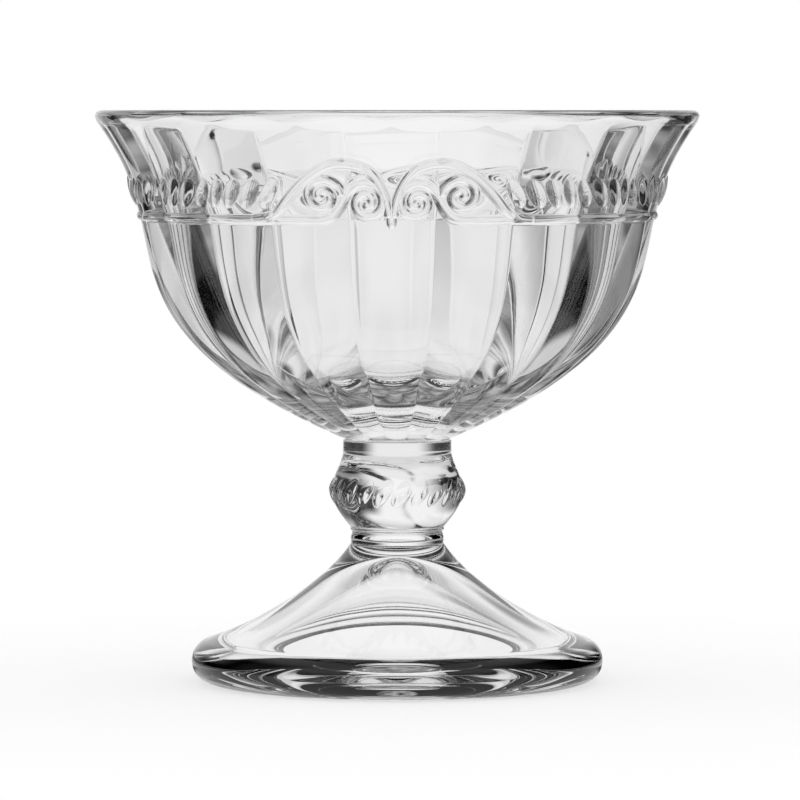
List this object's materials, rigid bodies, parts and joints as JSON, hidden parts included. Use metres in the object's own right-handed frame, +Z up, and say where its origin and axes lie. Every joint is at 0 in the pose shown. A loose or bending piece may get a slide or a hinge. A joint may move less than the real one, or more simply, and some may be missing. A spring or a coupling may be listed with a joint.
{
  "type": "dessert glass",
  "caption": "Footed dessert glass in clear pressed glass: a flared, fluted bowl with a beaded and scrolled band on a beaded knop stem and a round hollow foot.",
  "frame": {"origin": "centre of the circle on which the foot stands, on the table plane", "axes": "+Z up along the axis of the glass, -Y towards the middle of one of the two scroll ornaments, +X to the right of it"},
  "size_m": [0.1084, 0.1084, 0.103],
  "materials": {
    "bowl_glass": "clear, fire-polished",
    "stem_glass": "clear, fire-polished",
    "foot_glass": "clear, fire-polished"
  },
  "bodies": {
    "root": {"bowl": "bowl_glass", "stem": "stem_glass", "foot": "foot_glass"}
  },
  "joints": []
}
